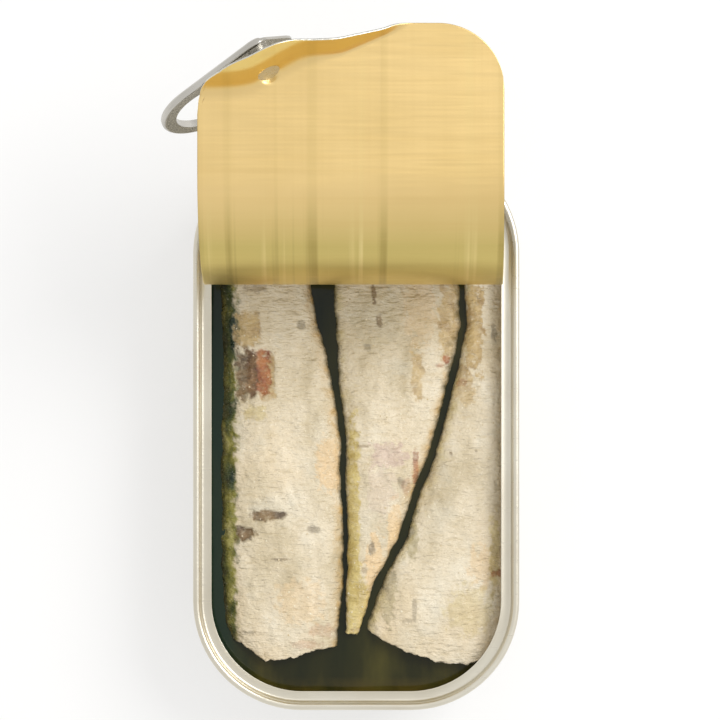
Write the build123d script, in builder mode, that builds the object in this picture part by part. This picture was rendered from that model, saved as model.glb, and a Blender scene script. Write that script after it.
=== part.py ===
from build123d import *

import os
from math import cos, hypot, pi, radians, sin, tau

# A quarter-club sardine tin with its lid peeled back and three sardines in oil.
# Origin: centre of the base. +Z is up, +Y points to the end where the lid is still attached,
# and the fish lie along Y. Lengths are in millimetres.

# --- tin ---------------------------------------------------------------------------------
tin_length = 104.0
tin_width = 60.0
tin_height = 22.0
corner_radius = 20.0
wall = 0.35
base_edge_radius = 2.5

# --- double seam and the rim of the lid that stays on -------------------------------------
seam_width = 1.3
seam_height = 2.9
seam_crown = 0.5
seam_clearance = 0.05
countersink = 2.4
ledge_width = 2.0

# --- raised panel of the base ------------------------------------------------------------
base_panel_inset = 7.0
base_panel_step = 0.7

# --- peeled panel of the lid --------------------------------------------------------------
sheet = 0.35
tear_front_y = 45.0
curl_radius = 18.9
free_end_y = 71.0
panel_shift_x = -0.9
free_corner_radius = 11.5
tab_corner_radius = 16.0
curl_rows = 22
flat_rows = 10
panel_columns = 34
column_evenness = 0.55
row_spread = 0.8

# --- corner flap, bent up along a crease -----------------------------------------------------
crease_points = [
    (-34.0, 56.6),
    (-26.5, 56.8),
    (-16.5, 57.9),
    (-9.8, 61.4),
    (-2.0, 65.0),
    (5.0, 68.0),
    (13.0, 71.4),
]
crease_sample_count = 200
bend_length = 5.0
sharp_bend_length = 1.6
sharpening_start_x = -9.0
sharpening_end_x = -1.0
flap_angle = 68.0
ridge_distance = 8.6
ridge_width = 1.6
rim_band_angle = 50.0
fade_start_x = 5.0
fade_end_x = 12.0
bend_steps = 24

# --- rivet and ring pull ----------------------------------------------------------------------
rivet_x = -15.4
rivet_y = 62.6
rivet_diameter = 4.2
rivet_dimple_diameter = 3.4
rivet_dimple_depth = 1.0
tab_standoff = 3.0
tab_normal = Vector(0.420, -0.860, 0.284)
tab_direction = Vector(-0.556, -0.514, -0.654)
tab_nose_reach = 5.4
tab_reach = 14.8
tab_nose_width = 10.4
tab_nose_length = 6.4
tab_nose_roundness = 0.45
tab_edge_roundness = 0.4
ring_outer_diameter = 20.0
finger_hole_diameter = 14.9
tab_thickness = 1.4
web_thickness = 0.5
tongue_recess_width = 8.6
tongue_recess_length = 14.0
rivet_clearance = 0.1

# --- fish and oil --------------------------------------------------------------------------
oil_level = 13.8
fish_top = 16.4
fish_bottom = 1.6
fish_gap = 0.45
fish_wall_gap = 0.45
left_oil_strip = 2.0
pressed_squareness = 4.5
free_squareness = 2.5
section_points = 24

# derived sizes of the tin
panel_z = tin_height - countersink
opening_length = tin_length - 2 * (seam_width + ledge_width)
opening_width = tin_width - 2 * (seam_width + ledge_width)
opening_radius = corner_radius - seam_width - ledge_width
body_inset = seam_width - sheet - seam_clearance - wall
body_top = tin_height - seam_crown - seam_clearance
lid_top = panel_z - sheet / 2 + 2 * curl_radius


def smoothstep(t):
    """0 below 0, 1 above 1, and a smooth rise between."""
    t = min(max(t, 0.0), 1.0)
    return t * t * (3 - 2 * t)


def rounded_outline(inset, height):
    """The tin's rounded outline, moved inwards by an inset, as a sketch at a height."""
    with BuildSketch(Plane.XY.offset(height)) as outline:
        RectangleRounded(tin_width - 2 * inset, tin_length - 2 * inset, corner_radius - inset)
    return outline.sketch


# --- peeled panel: a flat sheet mapped onto the curl and the corner flap -----------------------
crease = Spline(*crease_points)
crease_shares = [i / crease_sample_count for i in range(crease_sample_count + 1)]
crease_samples = [(crease @ share, crease % share) for share in crease_shares]


def crease_foot(x, y):
    """The nearest point of the crease, the direction away from the panel there, and the distance."""
    point, tangent = min(crease_samples, key=lambda s: hypot(s[0].X - x, s[0].Y - y))
    outward = Vector(-tangent.Y, tangent.X, 0)
    return point, outward, (Vector(x, y, 0) - point).dot(outward)


def slope_at(distance, steepest, bend):
    """Slope of the flap, in degrees, at a distance from the crease along the sheet."""
    rise = steepest * smoothstep(distance / bend)
    past_ridge = smoothstep((distance - ridge_distance) / ridge_width + 0.5)
    return rise + (min(rim_band_angle, steepest) - steepest) * past_ridge


def flap_profile(distance, steepest, bend):
    """How far out and up the flap has gone at a distance from the crease."""
    step = distance / bend_steps
    slopes = [radians(slope_at((k + 0.5) * step, steepest, bend)) for k in range(bend_steps)]
    return sum(cos(a) for a in slopes) * step, sum(sin(a) for a in slopes) * step


def flat_part(x, y):
    """Where a point of the flat top of the peeled panel lies once the corner flap is bent."""
    point, outward, distance = crease_foot(x, y)
    if distance <= 0:
        return Vector(x, y, lid_top)
    fade = smoothstep((point.X - fade_start_x) / (fade_end_x - fade_start_x))
    sharpening = smoothstep((point.X - sharpening_start_x) / (sharpening_end_x - sharpening_start_x))
    bend = bend_length + (sharp_bend_length - bend_length) * sharpening
    out, up = flap_profile(distance, flap_angle * (1 - fade), bend)
    return Vector(point.X + outward.X * out, point.Y + outward.Y * out, lid_top + up)


def opening_half_width(y):
    """Half the width of the opening at y, inside its rounded far corners."""
    start = opening_length / 2 - opening_radius
    if y <= start:
        return opening_width / 2
    return opening_width / 2 - opening_radius + (opening_radius**2 - (y - start) ** 2) ** 0.5


def free_end_at(x):
    """The y of the panel's free end at x, inside its two rounded corners."""
    left, right = panel_shift_x - opening_width / 2, panel_shift_x + opening_width / 2
    if x < left + tab_corner_radius:
        reach = left + tab_corner_radius - x
        return free_end_y - tab_corner_radius + max(tab_corner_radius**2 - reach**2, 0) ** 0.5
    if x > right - free_corner_radius:
        reach = x - right + free_corner_radius
        return free_end_y - free_corner_radius + max(free_corner_radius**2 - reach**2, 0) ** 0.5
    return free_end_y


def column_share(i):
    """Place of column i across the panel, from -1 to 1, closer together at the rounded corners."""
    u = 2 * i / panel_columns - 1
    return column_evenness * u + (1 - column_evenness) * sin(pi * u / 2)


def curl_point(share, angle, offset):
    """A point on the half-round curl, offset from the middle of the sheet towards its axis."""
    unrolled_y = tear_front_y - curl_radius * angle
    x = share * opening_half_width(unrolled_y) + panel_shift_x * smoothstep(angle / pi)
    radius = curl_radius - offset
    middle_z = panel_z - sheet / 2 + curl_radius
    return Vector(x, tear_front_y - radius * sin(angle), middle_z - radius * cos(angle))


def flat_points():
    """The middle of the sheet from the top of the curl to the free end, row by row."""
    shares = [column_share(i) for i in range(panel_columns + 1)]
    rows = []
    for j in range(flat_rows + 1):
        along = (j / flat_rows) ** row_spread
        row = []
        for share in shares:
            x = share * opening_width / 2 + panel_shift_x
            row.append(flat_part(x, tear_front_y + (free_end_at(x) - tear_front_y) * along))
        rows.append(row)
    return rows


def offset_grid(rows, offset):
    """The same grid of points, each moved along the sheet's normal. The first row moves straight down."""
    moved = []
    for j, row in enumerate(rows):
        line = []
        for i, point in enumerate(row):
            across = row[min(i + 1, len(row) - 1)] - row[max(i - 1, 0)]
            along = rows[min(j + 1, len(rows) - 1)][i] - rows[max(j - 1, 0)][i]
            normal = Vector(0, 0, 1) if j == 0 else across.cross(along).normalized()
            line.append(point + normal * offset)
        moved.append(line)
    return moved


def facet(*corners):
    """A flat face through its corners."""
    return Face(Wire.make_polygon(corners))


def grid_facets(rows):
    """Two triangles for each cell of a grid of points."""
    facets = []
    for low, high in zip(rows, rows[1:]):
        for i in range(len(low) - 1):
            facets.append(facet(low[i], low[i + 1], high[i + 1]))
            facets.append(facet(low[i], high[i + 1], high[i]))
    return facets


def strip_facets(line, other):
    """Flat quadrilaterals, in two triangles each, between two lines of points."""
    facets = []
    for a, b, c, d in zip(line, line[1:], other[1:], other):
        facets.append(facet(a, b, c))
        facets.append(facet(a, c, d))
    return facets


def peeled_panel():
    """The torn-out panel of the lid as one closed solid."""
    angles = [pi * j / curl_rows for j in range(curl_rows)]
    half = sheet / 2
    middle = flat_points()
    upper, lower = offset_grid(middle, half), offset_grid(middle, -half)
    facets = grid_facets(upper) + grid_facets(lower)
    for side, flat_edge in ((half, lower[0]), (-half, upper[0])):
        left = [curl_point(-1, angle, side) for angle in angles]
        right = [curl_point(1, angle, side) for angle in angles]
        for j in range(curl_rows - 1):
            facets.append(facet(left[j], right[j], right[j + 1], left[j + 1]))
        facets.append(facet(left[-1], right[-1], *reversed(flat_edge)))
    for share, i in ((-1, 0), (1, -1)):
        inner = [curl_point(share, angle, half) for angle in angles] + [row[i] for row in lower]
        outer = [curl_point(share, angle, -half) for angle in angles] + [row[i] for row in upper]
        facets += strip_facets(inner, outer)
    facets += strip_facets(upper[-1], lower[-1])
    start = [curl_point(-1, 0, half), curl_point(1, 0, half), curl_point(1, 0, -half), curl_point(-1, 0, -half)]
    facets.append(facet(*start))
    return Solid(Shell(facets))


# --- frames of the rivet and the ring pull --------------------------------------------------------
def sheet_normal(x, y):
    """The flap's normal on its inner face, at a point of the flat panel."""
    step = 0.2
    across = flat_part(x + step, y) - flat_part(x - step, y)
    along = flat_part(x, y + step) - flat_part(x, y - step)
    return across.cross(along).normalized()


rivet_seat = flat_part(rivet_x, rivet_y)
flap_normal = sheet_normal(rivet_x, rivet_y)
rivet_plane = Plane(rivet_seat, z_dir=flap_normal)
tab_axis = (tab_direction - tab_normal * tab_direction.dot(tab_normal)).normalized()
tab_origin = rivet_seat - tab_normal.normalized() * (sheet / 2 + tab_standoff + tab_thickness / 2)
tab_plane = Plane(tab_origin, x_dir=tab_axis, z_dir=tab_normal)


# --- can body ---------------------------------------------------------------------------------
with BuildPart() as can_body:
    extrude(rounded_outline(body_inset, 0), amount=body_top)
    fillet(can_body.faces().sort_by(Axis.Z)[0].edges(), base_edge_radius)
    offset(amount=-wall, openings=can_body.faces().sort_by(Axis.Z)[-1])
    extrude(rounded_outline(body_inset + base_panel_inset, wall), amount=base_panel_step)
    extrude(rounded_outline(body_inset + base_panel_inset + wall, 0), amount=base_panel_step, mode=Mode.SUBTRACT)
can_body.part.label = "can_body"

# --- lid: seam, countersunk rim, peeled panel, rivet --------------------------------------------
with BuildSketch(Plane.XY.offset(panel_z - sheet)) as torn_opening:
    add(rounded_outline(seam_width + ledge_width, panel_z - sheet))
    with Locations((0, tear_front_y + tin_length / 2)):
        Rectangle(tin_width, tin_length, mode=Mode.SUBTRACT)

with BuildPart() as lid:
    seam_bottom = tin_height - seam_height
    extrude(rounded_outline(0, seam_bottom), amount=seam_height)
    fillet(lid.faces().sort_by(Axis.Z)[-1].edges(), seam_crown)
    groove_height = body_top + seam_clearance - seam_bottom
    extrude(rounded_outline(body_inset - seam_clearance, seam_bottom), amount=groove_height, mode=Mode.SUBTRACT)
    extrude(rounded_outline(seam_width - sheet, panel_z - sheet), amount=tin_height - panel_z)
    extrude(rounded_outline(seam_width, panel_z), amount=countersink, mode=Mode.SUBTRACT)
    extrude(torn_opening.sketch, amount=sheet, mode=Mode.SUBTRACT)
    add(peeled_panel())
    with BuildSketch(rivet_plane.offset(sheet / 2)):
        Circle(rivet_diameter / 2)
    extrude(amount=-(sheet + tab_standoff + tab_thickness))
    with BuildSketch(rivet_plane.offset(sheet / 2)):
        Circle(rivet_dimple_diameter / 2)
    extrude(amount=-rivet_dimple_depth, mode=Mode.SUBTRACT)
lid.part.label = "lid"


# --- ring pull ----------------------------------------------------------------------------------
with BuildPart() as ring_pull:
    with BuildSketch(tab_plane.offset(-tab_thickness / 2)):
        with Locations((tab_reach, 0)):
            Circle(ring_outer_diameter / 2)
        with Locations((tab_nose_length / 2 - tab_nose_reach, 0)):
            RectangleRounded(tab_nose_length, tab_nose_width, tab_nose_length * tab_nose_roundness)
        make_hull()
    extrude(amount=tab_thickness)
    fillet(ring_pull.edges(), tab_thickness * tab_edge_roundness)
    with BuildSketch(tab_plane.offset(-tab_thickness / 2)):
        with Locations((tab_reach, 0)):
            Circle(finger_hole_diameter / 2)
    extrude(amount=tab_thickness, mode=Mode.SUBTRACT)
    for side in (1, -1):
        with BuildSketch(tab_plane.offset(side * web_thickness / 2)):
            SlotOverall(tongue_recess_length, tongue_recess_width)
        extrude(amount=side * tab_thickness, mode=Mode.SUBTRACT)
    with BuildSketch(rivet_plane):
        Circle(rivet_diameter / 2 + rivet_clearance)
    extrude(amount=-2 * (tab_standoff + tab_thickness), mode=Mode.SUBTRACT)
ring_pull.part.label = "ring_pull"


# --- sardines: bodies laid side by side, lofted through stations along Y --------------------------
# Each seam is a list of (y, x), from the cut ends to the far end.
seam_left_middle = [
    (-46.0, -3.4),
    (-38.0, -3.0),
    (-30.0, -2.1),
    (-20.0, -1.9),
    (-11.0, -2.5),
    (-2.0, -2.5),
    (8.0, -4.1),
    (14.0, -5.2),
    (20.0, -7.1),
    (26.0, -8.0),
    (43.0, -10.5),
]
seam_middle_right = [
    (-46.0, 0.9),
    (-38.0, 1.2),
    (-29.0, 3.7),
    (-21.0, 8.4),
    (-12.0, 11.2),
    (-5.0, 14.2),
    (3.0, 16.4),
    (12.0, 18.8),
    (19.0, 20.2),
    (26.0, 19.8),
    (43.0, 16.8),
]
# how far the middle fish stays back from the left one, as (y, x): a wedge of oil towards the far end
wedge = [(-46.0, 0.0), (8.0, 0.0), (14.0, 1.2), (20.0, 2.6), (26.0, 3.4), (43.0, 5.4)]
station_ys = [-46.0, -38.5, -34.0, -30.0, -26.0, -21.0, -12.0, -3.0, 6.0, 16.0, 26.0, 35.0, 43.0]
# height of the middle fish's underside and back where it thins out to its tail, as (y, z)
tail_end_y = -38.5
tail_underside = [
    (tail_end_y, 10.0),
    (-34.0, 7.6),
    (-30.0, 5.6),
    (-26.0, 4.0),
    (-21.0, 2.8),
    (-12.0, 1.9),
    (-3.0, fish_bottom),
]
tail_back = [(tail_end_y, 15.0), (-34.0, 15.5), (-30.0, 15.8), (-26.0, 16.0), (-21.0, 16.1)]
# (x, y) along each cut end, from left to right
left_cut = [(-30.0, -36.0), (-20.8, -40.6), (-16.9, -43.5), (-11.3, -42.8), (-7.1, -41.2), (0.0, -40.4)]
right_cut = [(-6.0, -33.0), (1.0, -37.0), (4.6, -39.4), (9.6, -41.9), (15.5, -43.7), (20.9, -44.0), (30.0, -40.0)]


def between(line, y):
    """The second number of a line of pairs at y, straight between them and level past the last."""
    for (y0, x0), (y1, x1) in zip(line, line[1:]):
        if y <= y1:
            return x0 + (x1 - x0) * (y - y0) / (y1 - y0)
    return line[-1][1]


def fish_wall_x(y):
    """How far a fish may reach sideways at y, just clear of the body's wall and its round corners."""
    radius = corner_radius - body_inset - wall
    reach = max(abs(y) - tin_length / 2 + corner_radius, 0.0)
    return tin_width / 2 - corner_radius + (radius**2 - reach**2) ** 0.5 - fish_wall_gap


def station(y, left, right, bottom, top, left_squareness, right_squareness):
    """A section across one fish: an oval between two x limits, squarer where a neighbour presses it."""
    points = []
    for k in range(section_points):
        angle = tau * k / section_points
        c, s = cos(angle), sin(angle)
        power = right_squareness if c > 0 else left_squareness
        reach = (abs(c) ** power + abs(s) ** power) ** (-1 / power)
        x = (left + right) / 2 + reach * c * (right - left) / 2
        points.append((x, (bottom + top) / 2 + reach * s * (top - bottom) / 2))
    with BuildSketch(Plane.XZ.offset(-y)) as section:
        with BuildLine():
            Spline(*points, periodic=True)
        make_face()
    return section.sketch


def beyond_cut(points):
    """The space past a cut end, seen from above."""
    with BuildSketch() as space:
        with BuildLine():
            cut = Spline(*points)
            Polyline(cut @ 1, (points[-1][0], -tin_length), (points[0][0], -tin_length), cut @ 0)
        make_face()
    return space.sketch


half_gap = fish_gap / 2
left_stations = []
middle_stations = []
right_stations = []
for y in station_ys:
    left_seam, right_seam = between(seam_left_middle, y), between(seam_middle_right, y)
    left_stations.append((y, left_oil_strip - fish_wall_x(y), left_seam - half_gap, fish_bottom, fish_top))
    right_stations.append((y, right_seam + half_gap, fish_wall_x(y), fish_bottom, fish_top))
    if y >= tail_end_y:
        bottom, top = between(tail_underside, y), between(tail_back, y)
        middle_left = left_seam + half_gap + between(wedge, y)
        middle_stations.append((y, middle_left, right_seam - half_gap, bottom, top))

with BuildPart() as sardine_left:
    loft([station(*values, free_squareness, pressed_squareness) for values in left_stations])
    extrude(beyond_cut(left_cut), amount=tin_height, mode=Mode.SUBTRACT)
sardine_left.part.label = "sardine_left"

with BuildPart() as sardine_middle:
    loft([station(*values, pressed_squareness, pressed_squareness) for values in middle_stations])
sardine_middle.part.label = "sardine_middle"

with BuildPart() as sardine_right:
    loft([station(*values, pressed_squareness, pressed_squareness) for values in right_stations])
    extrude(beyond_cut(right_cut), amount=tin_height, mode=Mode.SUBTRACT)
sardine_right.part.label = "sardine_right"

# --- oil: fills the body up to its level, cut round the fish --------------------------------------
with BuildPart() as oil:
    extrude(rounded_outline(body_inset + wall, wall), amount=oil_level - wall)
    fillet(oil.faces().sort_by(Axis.Z)[0].edges(), base_edge_radius - wall)
    extrude(rounded_outline(body_inset + base_panel_inset, 0), amount=wall + base_panel_step, mode=Mode.SUBTRACT)
    for fish in (sardine_left, sardine_middle, sardine_right):
        add(fish.part, mode=Mode.SUBTRACT)
oil.part.label = "oil"

os.makedirs("parts", exist_ok=True)
for piece in (can_body, lid, ring_pull, sardine_left, sardine_middle, sardine_right, oil):
    export_step(piece.part, f"parts/{piece.part.label}.step")
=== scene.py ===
"""An opened sardine tin: seamed rim, peeled gold lid, ring pull, three sardines and oil."""

import logging
import math
from dataclasses import dataclass, field
from enum import Enum
from typing import Sequence

import bmesh
import bpy
import numpy as np
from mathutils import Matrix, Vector, noise

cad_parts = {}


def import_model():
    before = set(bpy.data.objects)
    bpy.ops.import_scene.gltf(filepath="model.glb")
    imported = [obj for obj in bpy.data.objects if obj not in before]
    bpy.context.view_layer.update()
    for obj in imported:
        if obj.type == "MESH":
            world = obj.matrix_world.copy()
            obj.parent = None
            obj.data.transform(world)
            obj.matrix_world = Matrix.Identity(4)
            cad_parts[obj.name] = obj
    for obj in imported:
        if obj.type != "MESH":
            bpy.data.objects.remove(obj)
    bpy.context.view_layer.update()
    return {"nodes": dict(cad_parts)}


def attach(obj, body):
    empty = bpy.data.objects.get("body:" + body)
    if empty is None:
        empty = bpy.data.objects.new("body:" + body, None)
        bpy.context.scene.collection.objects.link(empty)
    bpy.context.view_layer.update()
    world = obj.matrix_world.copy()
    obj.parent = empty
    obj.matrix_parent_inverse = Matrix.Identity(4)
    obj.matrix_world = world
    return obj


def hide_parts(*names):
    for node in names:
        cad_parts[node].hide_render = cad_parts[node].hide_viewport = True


MM = 0.001
MERGE_DISTANCE = 1e-7
log = logging.getLogger("sardine_tin")
Colour = tuple[float, float, float]


# --- small maths ----------------------------------------------------------------------------------
def smoothstep(t: float) -> float:
    """0 below 0, 1 above 1, and a smooth rise between."""
    t = min(max(t, 0.0), 1.0)
    return t * t * (3.0 - 2.0 * t)


def srgb(red: int, green: int, blue: int) -> Colour:
    """A screen colour, 0 to 255, as the linear colour that shaders read."""
    def channel(value: int) -> float:
        """One channel made linear."""
        v = value / 255.0
        return v / 12.92 if v <= 0.04045 else ((v + 0.055) / 1.055) ** 2.4
    return channel(red), channel(green), channel(blue)


@dataclass(frozen=True)
class SmoothPath:
    """A natural cubic spline through a few points of the plane.

    Args:
        points: The points, in millimetres, in order.
    """

    points: tuple[tuple[float, float], ...]

    def samples(self, count: int) -> tuple[np.ndarray, np.ndarray]:
        """Evenly spread points of the path and its unit tangents.

        Args:
            count: How many samples to take.

        Returns:
            Two arrays of count rows: the points and the tangents.
        """
        p = np.array(self.points)
        t = np.concatenate([[0.0], np.cumsum(np.hypot(*np.diff(p, axis=0).T))])
        n, h = len(p), np.diff(t)
        a, b = np.eye(n), np.zeros((n, 2))
        for i in range(1, n - 1):
            a[i, i - 1:i + 2] = h[i - 1], 2 * (h[i - 1] + h[i]), h[i]
            b[i] = 6 * ((p[i + 1] - p[i]) / h[i] - (p[i] - p[i - 1]) / h[i - 1])
        m = np.linalg.solve(a, b)
        s = np.linspace(0, t[-1], count)
        k = np.clip(np.searchsorted(t, s, side="right") - 1, 0, n - 2)
        left, right, step = (t[k + 1] - s)[:, None], (s - t[k])[:, None], h[k][:, None]
        spot = (m[k] * left**3 + m[k + 1] * right**3) / (6 * step)
        spot += (p[k] / step - m[k] * step / 6) * left + (p[k + 1] / step - m[k + 1] * step / 6) * right
        tangent = np.gradient(spot, axis=0)
        return spot, tangent / np.linalg.norm(tangent, axis=1)[:, None]


# --- meshes ---------------------------------------------------------------------------------------
@dataclass
class Shell:
    """Vertices and faces gathered for one piece, in millimetres.

    Args:
        name: The piece's name.
        vertices, faces, slots: What has been gathered: points, faces and each face's material slot.
    """

    name: str
    vertices: list[Vector] = field(default_factory=list)
    faces: list[tuple[int, ...]] = field(default_factory=list)
    slots: list[int] = field(default_factory=list)

    def grid(self, rows: Sequence[Sequence[Vector]], closed: bool = False, slot: int = 0) -> list[list[int]]:
        """Adds a grid of points and the quads between them.

        Args:
            rows: The rows of points, all of one length.
            closed: Whether each row joins its own end.
            slot: The material slot of the quads.

        Returns:
            The index of each point.
        """
        start, width = len(self.vertices), len(rows[0])
        for row in rows:
            self.vertices.extend(row)
        index = [[start + r * width + c for c in range(width)] for r in range(len(rows))]
        for low, high in zip(index, index[1:]):
            for c in range(width if closed else width - 1):
                d = (c + 1) % width
                self.faces.append((low[c], low[d], high[d], high[c]))
                self.slots.append(slot)
        return index

    def strip(self, line: Sequence[int], other: Sequence[int], slot: int = 0) -> None:
        """Joins two lines of points that exist already."""
        for a, b, c, d in zip(line, line[1:], other[1:], other):
            self.faces.append((a, b, c, d))
            self.slots.append(slot)

    def build(self, finishes: Sequence[bpy.types.Material], smooth: bool = True) -> bpy.types.Object:
        """Makes the object, in metres, with outward normals.

        Args:
            finishes: The materials, in slot order.
            smooth: Whether faces are shaded smooth.

        Returns:
            The finished object, at the origin.
        """
        mesh = bpy.data.meshes.new(self.name)
        mesh.from_pydata([tuple(v * MM) for v in self.vertices], [], self.faces)
        for material in finishes:
            mesh.materials.append(material)
        mesh.polygons.foreach_set("material_index", self.slots)
        mesh.polygons.foreach_set("use_smooth", [smooth] * len(self.faces))
        piece = bpy.data.objects.new(self.name, mesh)
        bpy.context.scene.collection.objects.link(piece)
        recalculate_outward(mesh)
        return piece


def recalculate_outward(mesh: bpy.types.Mesh) -> None:
    """Merges doubles and points every face outwards."""
    work = bmesh.new()
    work.from_mesh(mesh)
    bmesh.ops.remove_doubles(work, verts=work.verts, dist=MERGE_DISTANCE)
    bmesh.ops.recalc_face_normals(work, faces=work.faces)
    work.to_mesh(mesh)
    work.free()


# --- finishes -------------------------------------------------------------------------------------
class Material:
    """A Principled material that is built node by node."""

    def __init__(self, name: str) -> None:
        """Starts an empty material called name."""
        self.material = bpy.data.materials.new(name)
        self.material.use_nodes = True
        self.nodes = self.material.node_tree.nodes
        self.links = self.material.node_tree.links
        self.shader = self.nodes["Principled BSDF"]
        self.place = self.nodes.new("ShaderNodeTexCoord").outputs["Object"]

    def value(self, **sockets: float) -> None:
        """Sets plain numbers on the shader's own sockets; a space is written as an underscore."""
        for name, number in sockets.items():
            self.shader.inputs[name.replace("_", " ")].default_value = number

    def mapped(self, scale: Sequence[float]) -> bpy.types.NodeSocket:
        """The object's coordinates, stretched by a scale."""
        node = self.nodes.new("ShaderNodeMapping")
        node.inputs["Scale"].default_value = scale
        self.links.new(self.place, node.inputs["Vector"])
        return node.outputs["Vector"]

    def noise(self, scale: float, detail: float = 4.0,
              stretch: Sequence[float] = (1, 1, 1)) -> bpy.types.NodeSocket:
        """A noise factor in object space.

        Args:
            scale: How fine the noise is.
            detail: How many finer layers it has.
            stretch: A scale on each axis; a small number draws the noise out along it.

        Returns:
            The factor's socket.
        """
        node = self.nodes.new("ShaderNodeTexNoise")
        node.inputs["Scale"].default_value = scale
        node.inputs["Detail"].default_value = detail
        self.links.new(self.mapped(stretch), node.inputs["Vector"])
        return node.outputs["Fac"]

    def ramp(self, factor: bpy.types.NodeSocket,
             stops: Sequence[tuple[float, Colour]]) -> bpy.types.NodeSocket:
        """A colour ramp over a factor."""
        node = self.nodes.new("ShaderNodeValToRGB")
        while len(node.color_ramp.elements) < len(stops):
            node.color_ramp.elements.new(0.5)
        for element, (position, colour) in zip(node.color_ramp.elements, stops):
            element.position, element.color = position, (*colour, 1.0)
        self.links.new(factor, node.inputs["Fac"])
        return node.outputs["Color"]

    def range(self, factor: bpy.types.NodeSocket, low: float, high: float, to_low: float = 0.0,
              to_high: float = 1.0) -> bpy.types.NodeSocket:
        """A factor moved from one range to another and clamped.

        Args:
            factor: The socket that is read.
            low, high: The range it comes in.
            to_low, to_high: The range it leaves in.

        Returns:
            The moved factor's socket.
        """
        node = self.nodes.new("ShaderNodeMapRange")
        for key, number in zip(("From Min", "From Max", "To Min", "To Max"), (low, high, to_low, to_high)):
            node.inputs[key].default_value = number
        self.links.new(factor, node.inputs["Value"])
        return node.outputs["Result"]

    def mix(self, factor: bpy.types.NodeSocket, under: object, over: object) -> bpy.types.NodeSocket:
        """Two colours mixed by a factor.

        Args:
            factor: 0 shows only the first colour, 1 only the second.
            under, over: The colours, each a socket or a plain colour.

        Returns:
            The mixed colour's socket.
        """
        node = self.nodes.new("ShaderNodeMix")
        node.data_type = "RGBA"
        self.links.new(factor, node.inputs["Factor"])
        for socket, colour in ((node.inputs[6], under), (node.inputs[7], over)):
            if isinstance(colour, tuple):
                socket.default_value = (*colour, 1.0)
            else:
                self.links.new(colour, socket)
        return node.outputs[2]

    def math(self, operation: str, a: object, b: object = 0.0) -> bpy.types.NodeSocket:
        """A maths node on two sockets or numbers."""
        node = self.nodes.new("ShaderNodeMath")
        node.operation = operation
        for socket, item in zip(node.inputs, (a, b)):
            if isinstance(item, (int, float)):
                socket.default_value = item
            else:
                self.links.new(item, socket)
        return node.outputs[0]

    def axis(self, name: str) -> bpy.types.NodeSocket:
        """One coordinate, X, Y or Z, of the place on the object, in metres."""
        node = self.nodes.new("ShaderNodeSeparateXYZ")
        self.links.new(self.place, node.inputs["Vector"])
        return node.outputs[name]

    def sheet_metal(self, dent_scale: float) -> bpy.types.Node:
        """The shared sheet-metal group, with its outputs Clouds, Dents and Lines."""
        node = self.nodes.new("ShaderNodeGroup")
        node.node_tree = sheet_metal_group()
        node.inputs["Dent Scale"].default_value = dent_scale
        return node

    def attribute(self, name: str) -> bpy.types.NodeSocket:
        """A mask stored on the mesh."""
        node = self.nodes.new("ShaderNodeAttribute")
        node.attribute_name = name
        return node.outputs["Fac"]

    def bump(self, heights: Sequence[tuple[bpy.types.NodeSocket, float]]) -> None:
        """Chains bumps of given depths, in metres, into the shader's normal."""
        normal = None
        for height, depth in heights:
            node = self.nodes.new("ShaderNodeBump")
            node.inputs["Distance"].default_value = depth
            self.links.new(height, node.inputs["Height"])
            if normal is not None:
                self.links.new(normal, node.inputs["Normal"])
            normal = node.outputs["Normal"]
        self.links.new(normal, self.shader.inputs["Normal"])

    def colour(self, socket: bpy.types.NodeSocket) -> None:
        """Feeds the base colour."""
        self.links.new(socket, self.shader.inputs["Base Color"])

    def roughness(self, socket: bpy.types.NodeSocket) -> None:
        """Feeds the roughness."""
        self.links.new(socket, self.shader.inputs["Roughness"])


def sheet_metal_group() -> bpy.types.NodeTree:
    """The node group that all sheet finishes share: clouding, small dents and fine rolling lines.

    Returns:
        The group, made on its first use.
    """
    name = "sheet_metal"
    if name in bpy.data.node_groups:
        return bpy.data.node_groups[name]
    tree = bpy.data.node_groups.new(name, "ShaderNodeTree")
    tree.interface.new_socket(name="Dent Scale", in_out="INPUT", socket_type="NodeSocketFloat")
    even, drawn_out = (1.0, 1.0, 1.0), (0.03, 1.0, 1.0)
    textures = (("Clouds", 60.0, 3.0, even), ("Dents", 120.0, 2.0, even), ("Lines", 2600.0, 2.0, drawn_out))
    for title, *_ in textures:
        tree.interface.new_socket(name=title, in_out="OUTPUT", socket_type="NodeSocketFloat")
    new, link = tree.nodes.new, tree.links.new
    given, out, place = new("NodeGroupInput"), new("NodeGroupOutput"), new("ShaderNodeTexCoord")
    for title, scale, detail, stretch in textures:
        mapped, texture = new("ShaderNodeMapping"), new("ShaderNodeTexNoise")
        mapped.inputs["Scale"].default_value = stretch
        texture.inputs["Scale"].default_value = scale
        texture.inputs["Detail"].default_value = detail
        link(place.outputs["Object"], mapped.inputs["Vector"])
        link(mapped.outputs["Vector"], texture.inputs["Vector"])
        link(texture.outputs["Fac"], out.inputs[title])
        if title == "Dents":
            link(given.outputs["Dent Scale"], texture.inputs["Scale"])
    return tree


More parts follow.
